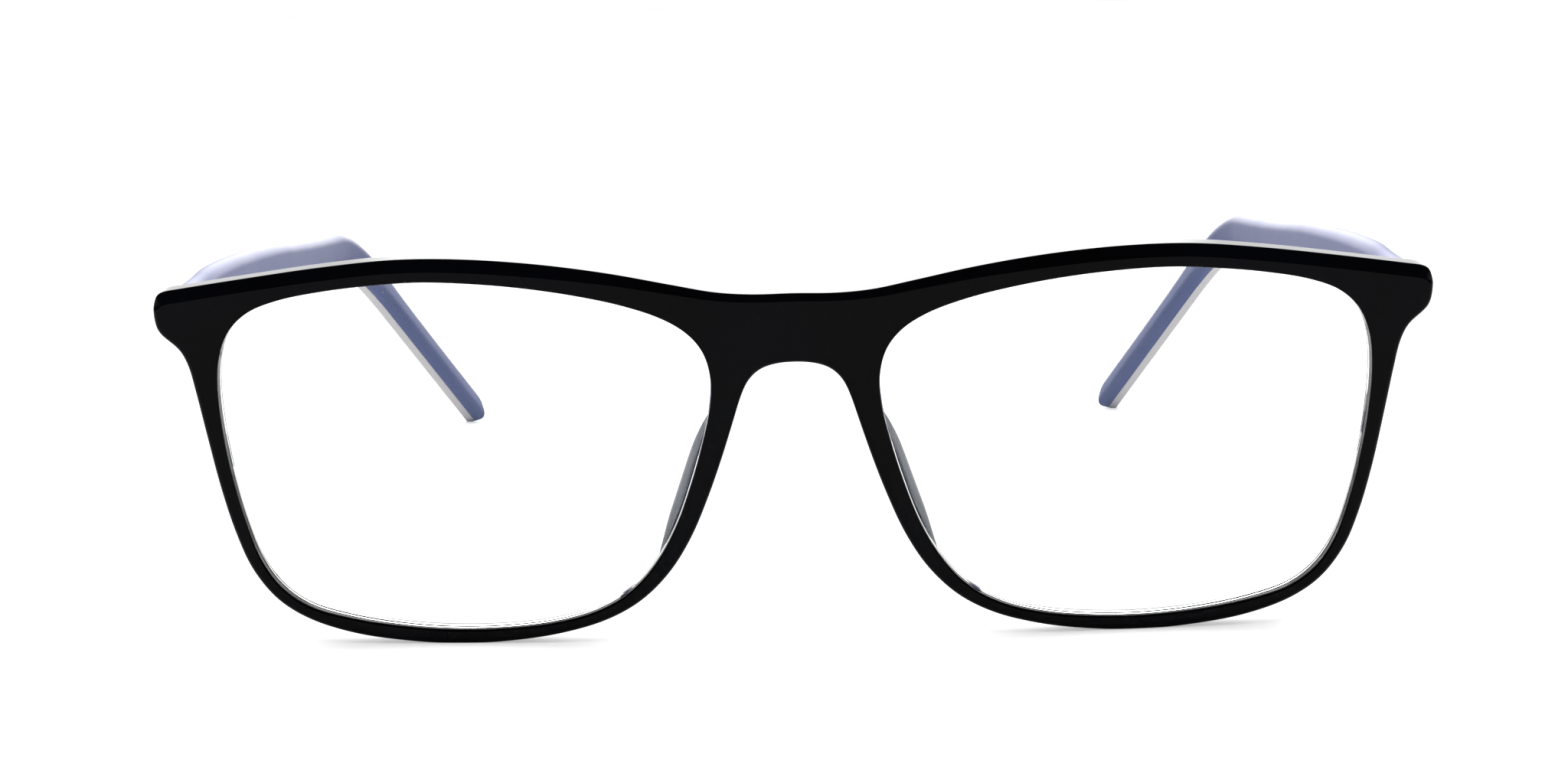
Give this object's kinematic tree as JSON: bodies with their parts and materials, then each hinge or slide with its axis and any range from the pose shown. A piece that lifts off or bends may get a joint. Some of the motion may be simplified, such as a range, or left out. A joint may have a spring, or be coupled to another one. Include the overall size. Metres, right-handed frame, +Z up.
{
  "type": "reading glasses",
  "caption": "Full-rim rectangular glasses with clear filter lenses, solid nose pads and two-layer temples that fold on barrel hinges.",
  "frame": {"origin": "centre of the footprint on the surface the glasses stand on, temples open", "axes": "+X to the right of someone looking at the front, +Y from the front back along the open temples, +Z up"},
  "size_m": [0.1398, 0.1422, 0.0438],
  "materials": {
    "gloss_black": "polished black acetate",
    "clear_lens": "clear coated resin",
    "blue_layer": "satin slate-blue acetate",
    "pale_layer": "satin pale grey acetate",
    "steel": "plain nickel-coloured steel"
  },
  "bodies": {
    "front": {"front_frame": "gloss_black", "right_lens": "clear_lens", "right_nose_pad": "gloss_black", "right_front_hinge_leaf": "steel", "right_hinge_screw": "steel", "right_front_leaf_screw_lower": "steel", "right_front_leaf_screw_upper": "steel", "left_lens": "clear_lens", "left_nose_pad": "gloss_black", "left_front_hinge_leaf": "steel", "left_hinge_screw": "steel", "left_front_leaf_screw_lower": "steel", "left_front_leaf_screw_upper": "steel"},
    "right_temple": {"right_temple_inner_layer": "blue_layer", "right_temple_outer_layer": "pale_layer", "right_core_wire": "steel", "right_temple_hinge_leaf": "steel", "right_temple_leaf_screw_front": "steel", "right_temple_leaf_screw_rear": "steel"},
    "left_temple": {"left_temple_inner_layer": "blue_layer", "left_temple_outer_layer": "pale_layer", "left_core_wire": "steel", "left_temple_hinge_leaf": "steel", "left_temple_leaf_screw_front": "steel", "left_temple_leaf_screw_rear": "steel"}
  },
  "joints": [
    {"name": "right_temple_fold", "type": "hinge", "parent": "front", "child": "right_temple", "pos_m": [0.06435, -0.06021, 0.0376], "axis": [0, -0.0349, 0.9994], "range_deg": [0, 69]},
    {"name": "left_temple_fold", "type": "hinge", "parent": "front", "child": "left_temple", "pos_m": [-0.06435, -0.06021, 0.0376], "axis": [0, 0.0349, -0.9994], "range_deg": [0, 85]}
  ]
}
